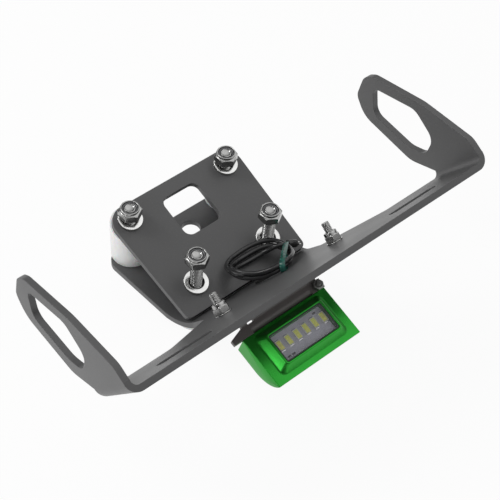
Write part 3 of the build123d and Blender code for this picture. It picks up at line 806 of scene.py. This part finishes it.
class TIDY_OT_build_lamp(bpy.types.Operator):
    """Make the green housing, and finish its gasket and lens"""
    bl_idname = "tail_tidy.build_lamp"
    bl_label = "Build the lamp"

    def execute(self, context):
        settings = context.scene.tidy_lamp
        # The housing's edges carry a painted highlight through the colour's edge gain.
        green = finish_material(
            "Green anodised", settings.green, settings.roughness, grain=0.0004, depth=0.000004,
            patch=0.01, change=0.1, edge=0.0003, edge_highlight=1.5, constants={"Metallic": 0.9},
        )
        add_piece("green_housing", [skin(lamp_wedge()), skin(lamp_bezel(), True)], green,
                  ["lamp_housing"], smooth=30)
        seal = finish_material(
            "Window seal", settings.seal, roughness=0.5, grain=0.0003, depth=0.000005
        )
        paint_node("lamp_gasket", seal)
        lens = finish_material(
            "Clear window", settings.window, roughness=0.12, grain=0.002, depth=0.000003,
            patch=0.01, change=0.02, constants={"Alpha": 0.1, "IOR": 1.49},
        )
        paint_node("lamp_lens", lens)
        return {"FINISHED"}


def box_rings(half_x, half_y, corner, rows, steps=4):
    """Rounded rectangles stacked up: each row is a growth of the outline and a height."""
    rings = []
    for grow, height in rows:
        outline = rounded_box(half_x + grow, half_y + grow, max(corner + grow, 0.02), steps)
        rings.append(np.column_stack([outline, np.full(len(outline), height)]))
    return np.stack(rings)


class TIDY_OT_build_board(bpy.types.Operator):
    """Make the light chips, their resin and solder, and the board's small parts"""
    bl_idname = "tail_tidy.build_board"
    bl_label = "Build the lamp's board"

    def execute(self, context):
        settings = context.scene.tidy_lamp
        board = finish_material(
            "Lamp board", settings.board, roughness=0.35, grain=0.0008, depth=0.000006,
            patch=0.006, change=0.07, fleck=0.05,
        )
        shell = finish_material(
            "Chip body", settings.chip, roughness=0.4, grain=0.0004, depth=0.000003, patch=0.002
        )
        resin = finish_material(
            "Chip resin", settings.phosphor, roughness=0.3, grain=0.0003, patch=0.001, change=0.16,
            constants={"Subsurface Weight": 0.1, "Subsurface Scale": 0.001},
        )
        solder = zinc_material(context.scene.tidy_fasteners)
        paint_node("led_board", board)
        face = BEZEL_RISE - POCKET_DEPTH + BOARD_THICK
        half_x = settings.led_width / MM / 2
        half_y = settings.led_length / MM / 2
        wall = 0.36
        middles = (np.arange(LED_COUNT) - (LED_COUNT - 1) / 2) * LED_PITCH + LED_SHIFT
        body = box_rings(half_x, half_y, 0.25, [
            (0, 0), (0, 0.82), (-0.06, 0.9), (-0.3, 0.9), (-wall, 0.78), (-0.5, 0.78),
        ])
        dome = box_rings(half_x - wall, half_y - wall, 0.2, [
            (0, 0.7), (0, 0.8), (-0.2, 0.86), (-0.6, 0.9), (-1.0, 0.91),
        ])
        pad = box_rings(half_x * 0.8, 0.3, 0.12, [(0, -0.02), (0, 0.1), (-0.06, 0.2), (-0.12, 0.22)])

        def laid(points, x, v):
            """Points set at x and v on the board's face."""
            return lamp_point(points[..., 0] + x, points[..., 1] + v, points[..., 2] + face)

        add_piece("chip_bodies", [skin(laid(body, x, LED_ROW)) for x in middles], shell,
                  ["leds"])
        add_piece("chip_resin", [skin(laid(dome, x, LED_ROW)) for x in middles], resin)
        pads = [skin(laid(pad, x, LED_ROW + side * (half_y + 0.15))) for x in middles for side in (-1, 1)]
        add_piece("solder_pads", pads, solder)
        resistor = box_rings(0.8, 0.4, 0.05, [(0, 0), (0, 0.4), (-0.05, 0.45), (-0.2, 0.45)])
        spots = [(-12.2, LENS_MIDDLE - 5.2), (-9.6, LENS_MIDDLE - 5.2), (11.0, LENS_MIDDLE + 5.0)]
        parts = [skin(laid(resistor, x, v)) for x, v in spots]
        add_piece("board_resistors", parts, rubber_material(context.scene.tidy_cable))
        return {"FINISHED"}


# The cable's route, in millimetres. The lead starts as in the solids

LEAD_POINTS = [
    lamp_point(6.0, 25.0, -5.0),
    lamp_point(6.0, 35.5, -5.0),
    slope_point(4.5, 15.8, -7.0),
    slope_point(4.5, 15.8, 4.5),
]
CORNER_SHARE = 0.5
CORNER_PARTS = 3
LOOP_POINTS = np.array([
    (-6.9, -26.2, 16.2), (0.8, -22.7, 13.0), (10.7, -23.0, 13.9), (18.6, -26.3, 15.8),
    (22.1, -32.6, 16.5), (19.4, -40.4, 20.5), (11.7, -45.2, 25.3), (3.4, -44.6, 24.5),
    (-3.5, -39.7, 21.1), (-8.0, -32.8, 19.3),
])
LOOP_UP = np.array([0, 0.41, 0.912])
LOOP_START = -0.1
LOOP_END = 2.2
JOIN = 5.0
EASED_POINT = 17
EASED_REACH = 6
EASING = 8
POINTS_PER_TURN = 20
SLEEVE_START = np.array([23.4, -32.0, 17.2])
SLEEVE_DIR = np.array([6.0, -1.2, -2.6]) / np.linalg.norm([6.0, -1.2, -2.6])
SLEEVE_LENGTH = 5.5
TIE_TURNS = np.array([0.41, 0.64])
TIE_HALF = 2.6


def rounded_corner(before, corner, after):
    """Control points round a corner: the tangent polygon of the arc whose legs are a share of the
    shorter run. Each point lies at the arc's radius over the cosine of half a part of its turn."""
    run_back, run_ahead = np.linalg.norm(before - corner), np.linalg.norm(after - corner)
    legs = CORNER_SHARE * min(run_back, run_ahead)
    back = (before - corner) / run_back
    ahead = (after - corner) / run_ahead
    turn = math.pi - math.acos(back @ ahead)
    radius = legs / math.tan(turn / 2)
    middle = back + ahead
    centre = corner + middle / np.linalg.norm(middle) * radius / math.cos(turn / 2)
    start = corner + back * legs
    x = (start - centre) / radius
    angle = (np.arange(CORNER_PARTS) + 0.5) * turn / CORNER_PARTS
    reach = radius / math.cos(turn / CORNER_PARTS / 2)
    arc = centre + reach * (np.cos(angle)[:, None] * x - np.sin(angle)[:, None] * back)
    return np.concatenate([start[None], arc, (corner + ahead * legs)[None]])


def outwards(ahead, up):
    """Unit vectors square to the loop's directions and to up. The loop runs clockwise seen from
    above, so its left side is its outside."""
    side = np.cross(up, ahead)
    return side / np.linalg.norm(side, axis=1)[:, None]


def loop_line(turns):
    """The loop's middle line at a number of turns: the first three harmonics of its ten points."""
    series = np.fft.fft(LOOP_POINTS, axis=0) / len(LOOP_POINTS)
    wave = np.array([0, 1, 2, 3, -3, -2, -1])
    phase = np.exp(1j * TURN * turns[:, None] * wave)
    return (phase @ series[wave]).real


def cable_route(diameter, spread):
    """The cable's control points. The lead comes out of the lamp and up through the neck. The
    turns then follow the loop's middle line. They are packed in a triangle that goes round by a
    third of a turn per lap, and on the far side they fan out next to each other, in order. Where
    the lead joins the loop, each point moves towards the middle of its neighbours, EASING times,
    by half the squared cosine of how far it is from the join."""
    turns = np.arange(LOOP_START * POINTS_PER_TURN, LOOP_END * POINTS_PER_TURN + 0.5) / POINTS_PER_TURN
    line = loop_line(turns)
    ahead = loop_line(turns + 0.01) - loop_line(turns - 0.01)
    ahead /= np.linalg.norm(ahead, axis=1)[:, None]
    lay = math.pi / 6 + TURN / 3 * turns
    pack = diameter / math.sqrt(3)
    rank = (0.5 * (LOOP_START + LOOP_END) - turns) * diameter * (1 + spread)
    packed = (pack * np.cos(lay))[:, None] * outwards(ahead, LOOP_UP)
    packed += (pack * np.sin(lay))[:, None] * LOOP_UP
    fanned = rank[:, None] * outwards(ahead, PLATE_UP) - 0.5 * np.array(PLATE_UP)
    fan = np.clip(np.cos(TURN * (turns - 0.17)), 0, 1) ** 1.5
    line = line + packed + (fanned - packed) * fan[:, None]
    corners = [*LEAD_POINTS, line[0] - ahead[0] * JOIN, line[0] + ahead[0] * (JOIN - 1)]
    lead = [rounded_corner(*three) for three in zip(corners, corners[1:], corners[2:])]
    finish = [
        line[-1] - ahead[-1] * (JOIN - 1), line[-1] + ahead[-1] * JOIN,
        SLEEVE_START - SLEEVE_DIR * (JOIN + 0.5), SLEEVE_START + SLEEVE_DIR * 3.0,
    ]
    leave = rounded_corner(*finish[:3])
    end = rounded_corner(*finish[1:])
    route = np.concatenate([LEAD_POINTS[:1], *lead, line[1:-1], leave, end[1:], finish[-1:]])
    reach = np.clip(np.abs(np.arange(len(route)) - EASED_POINT) / EASED_REACH, 0, 1)
    ease = 0.5 * np.cos(0.5 * math.pi * reach[1:-1, None]) ** 2
    for _ in range(EASING):
        route[1:-1] += ease * (0.5 * (route[:-2] + route[2:]) - route[1:-1])
    return route


class TIDY_OT_lay_cable(bpy.types.Operator):
    """Lay the cable from the lamp through the neck into its loop, with its sleeve and cores"""
    bl_idname = "tail_tidy.lay_cable"
    bl_label = "Lay the cable"

    def execute(self, context):
        settings = context.scene.tidy_cable
        diameter = settings.diameter / MM
        route = cable_route(diameter, settings.spread) * MM
        sheath = finish_material(
            "Cable sheath", settings.sheath, roughness=0.22, grain=0.0007, depth=0.00002, change=0.15,
        )
        curve = bpy.data.curves.new("lamp_cable", "CURVE")
        curve.dimensions = "3D"
        curve.bevel_depth = settings.diameter / 2
        curve.bevel_resolution = 4
        curve.use_fill_caps = True
        spline = curve.splines.new("NURBS")
        spline.points.add(len(route) - 1)
        spline.points.foreach_set("co", np.column_stack([route, np.ones(len(route))]).ravel())
        spline.order_u = 3
        spline.use_endpoint_u = True
        spline.resolution_u = 6
        curve.materials.append(sheath)
        cable = add_object("lamp_cable", curve)
        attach(cable, BODY)
        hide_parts("cable_lead", "cable_coil")
        sleeve = turned([0.8, 1.3, 1.75, 1.9, 1.9, 1.8, 1.2], [0.0, 0.0, 0.15, 0.5, 4.8, 5.3, 5.5], 24)
        core = turned([0.45, 0.45, 0.42], [0, 1.2, 1.3], 16)
        tip = turned([0.3, 0.34, 0.34, 0.2], [0.0, 1.1, 2.3, 2.5], 12)
        end = SLEEVE_START + SLEEVE_DIR * (SLEEVE_LENGTH - 0.1)
        aside = np.cross(SLEEVE_DIR, [0, 0, 1])
        aside /= np.linalg.norm(aside)
        ends = [end + aside * 0.7 * side for side in (-1, 1)]
        skins = [skin(placed(sleeve, SLEEVE_START, SLEEVE_DIR))]
        skins += [skin(placed(core, at, SLEEVE_DIR)) for at in ends]
        shrink = add_piece("cable_sleeve", skins, sheath, ["cable_end"])
        zinc = zinc_material(context.scene.tidy_fasteners)
        tips = add_piece("bare_cores", [skin(placed(tip, at, SLEEVE_DIR)) for at in ends], zinc)
        paint_node("grommet", rubber_material(settings))
        return {"FINISHED"}


class TIDY_OT_wrap_tie(bpy.types.Operator):
    """Wrap the flat tie round both sides of the loop"""
    bl_idname = "tail_tidy.wrap_tie"
    bl_label = "Wrap the tie"

    def execute(self, context):
        settings = context.scene.tidy_cable
        material = finish_material(
            "Tie plastic", settings.tie, roughness=0.2, grain=0.0008, depth=0.00006,
            patch=0.0015, change=0.5,
            constants={"Subsurface Weight": 0.15, "Subsurface Scale": 0.002},
        )
        far, near = loop_line(TIE_TURNS)
        run = near - far
        middle = (near + far) / 2
        length = np.linalg.norm(run)
        up = LOOP_UP - run * (LOOP_UP @ run) / length ** 2
        up /= np.linalg.norm(up)
        side = np.cross(run / length, up)
        half_turn = np.linspace(-math.pi / 2, math.pi / 2, 12)
        bend = TIE_HALF * np.stack([np.cos(half_turn), np.sin(half_turn)], -1) + [length / 2, 0]
        line = np.concatenate([bend, -bend])
        square = inward(line)
        ring = box_rings(0.25, 1.35, 0.15, [(0, 0)], 3)[0][:, :2]
        flat = line[:, None] + square[:, None] * ring[:, :1]
        points = middle + flat[..., :1] * (run / length) + flat[..., 1:] * up + ring[:, 1:] * side
        add_piece("flat_tie", [skin(points, True)], material, ["cable_tie"])
        return {"FINISHED"}


class TIDY_OT_set_stage(bpy.types.Operator):
    """Set the floor, the sky, the lights and the camera"""
    bl_idname = "tail_tidy.set_stage"
    bl_label = "Set the stage"

    def execute(self, context):
        scene = context.scene
        settings = scene.tidy_stage
        material = bpy.data.materials.new("Studio floor")
        tree = empty_tree(material)
        share = use_group(tree, "Patches", size=0.4)["Share"]
        tone = blend_colour(tree, share, rgba(settings.floor, 0.99), rgba(settings.floor))
        matt = put(tree, "ShaderNodeBsdfDiffuse", {"Color": tone})
        glow = put(tree, "ShaderNodeEmission", {"Color": (1, 1, 1, 1), "Strength": 1.0})
        rays = put(tree, "ShaderNodeLightPath").outputs
        seen = math_node(tree, "MAXIMUM", rays["Is Camera Ray"], rays["Is Glossy Ray"])
        seen = math_node(tree, "MAXIMUM", seen, rays["Is Transmission Ray"])
        lit = math_node(tree, "MULTIPLY", seen, settings.glow)
        both = put(tree, "ShaderNodeMixShader", {0: lit, 1: matt.outputs[0], 2: glow.outputs[0]})
        put(tree, "ShaderNodeOutputMaterial", {"Surface": both.outputs[0]})
        half = 4.0
        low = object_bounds()[0].z - 0.00005
        corners = [(-half, -half, low), (half, -half, low), (half, half, low), (-half, half, low)]
        mesh = bpy.data.meshes.new("studio_floor")
        mesh.from_pydata(corners, [], [(0, 1, 2, 3)])
        mesh.materials.append(material)
        floor = add_object("studio_floor", mesh)
        floor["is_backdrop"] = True

        scene.world = bpy.data.worlds.new("Studio sky")
        tree = empty_tree(scene.world)
        rays = put(tree, "ShaderNodeLightPath").outputs
        seen = math_node(tree, "MAXIMUM", rays["Is Camera Ray"], rays["Is Transmission Ray"])
        heading = put(tree, "ShaderNodeTexCoord").outputs["Generated"]
        towards = {0: heading, 1: (0.5, -0.1, 0.86)}
        facing = put(tree, "ShaderNodeVectorMath", towards, operation="DOT_PRODUCT").outputs["Value"]
        panel = put(tree, "ShaderNodeMapRange", {0: facing, 1: 0.35, 2: 0.85, 3: 0.12, 4: 1.15})
        mirrored = blend_value(tree, rays["Is Glossy Ray"], settings.sky, panel.outputs[0])
        plain = put(tree, "ShaderNodeBackground", {"Color": (1, 1, 1, 1), "Strength": mirrored})
        white = put(tree, "ShaderNodeBackground", {"Color": (1, 1, 1, 1), "Strength": 1.0})
        both = put(tree, "ShaderNodeMixShader", {0: seen, 1: plain.outputs[0], 2: white.outputs[0]})
        put(tree, "ShaderNodeOutputWorld", {"Surface": both.outputs[0]})

        for name, spot, aim, wide, power in (
            ("key_light", (-0.55, 0.75, 0.95), (0, 0, 0), 0.55, settings.key),
            ("side_light", (-1.0, -0.05, 0.35), (0, -0.04, 0), 0.35, settings.key * 0.25),
        ):
            data = bpy.data.lights.new(name, "AREA")
            data.shape = "DISK"
            data.size = wide
            data.energy = power
            lamp = add_object(name, data)
            lamp.location = spot
            lamp.rotation_mode = "QUATERNION"
            lamp.rotation_quaternion = (Vector(spot) - Vector(aim)).to_track_quat("Z", "Y")

        camera = bpy.data.cameras.new("Photo view")
        camera.sensor_width = 36.0
        camera.lens = settings.lens
        camera.clip_start = 0.01
        holder = add_object("photo_camera", camera)
        right = (0.76115285, -0.64639528, 0.05309875)
        above = (0.47464992, 0.61096326, 0.6335861)
        back = (-0.44198845, -0.45705254, 0.7718479)
        place = (-0.26556898, -0.30611825, 0.49352976)
        holder.matrix_world = Matrix((*zip(right, above, back, place), (0, 0, 0, 1)))
        scene.camera = holder
        scene.view_settings.view_transform = "Standard"
        return {"FINISHED"}


SETTINGS = {
    "tidy_steel": SteelSettings,
    "tidy_fasteners": FastenerSettings,
    "tidy_spacers": SpacerSettings,
    "tidy_lamp": LampSettings,
    "tidy_cable": CableSettings,
    "tidy_stage": StageSettings,
}
STEPS = [
    TIDY_OT_set_stage,
    TIDY_OT_wrap_tie,
    TIDY_OT_lay_cable,
    TIDY_OT_coat_steel,
    TIDY_OT_fit_bolts,
    TIDY_OT_fit_lock_nuts,
    TIDY_OT_fit_washers,
    TIDY_OT_fit_spacers,
    TIDY_OT_fit_bar_screws,
    TIDY_OT_fit_lamp_screws,
    TIDY_OT_build_lamp,
    TIDY_OT_build_board,
]


class TIDY_PT_steps(bpy.types.Panel):
    """Lists the steps that dress the tail tidy"""
    bl_idname = "TIDY_PT_steps"
    bl_label = "Tail tidy"
    bl_space_type = "VIEW_3D"
    bl_region_type = "UI"
    bl_category = "Tail tidy"

    def draw(self, context):
        for step in STEPS:
            self.layout.operator(step.bl_idname)


def register():
    """Registers the settings, the steps and the panel."""
    for cls in (*SETTINGS.values(), *STEPS, TIDY_PT_steps):
        bpy.utils.register_class(cls)
    for name, cls in SETTINGS.items():
        setattr(bpy.types.Scene, name, bpy.props.PointerProperty(type=cls))


def unregister():
    """Takes the settings, the steps and the panel away again."""
    for name in SETTINGS:
        delattr(bpy.types.Scene, name)
    for cls in reversed((*SETTINGS.values(), *STEPS, TIDY_PT_steps)):
        bpy.utils.unregister_class(cls)


def main():
    """Runs every step in order."""
    register()
    for step in STEPS:
        area, name = step.bl_idname.split(".")
        getattr(getattr(bpy.ops, area), name)()


if __name__ == "__main__":
    main()
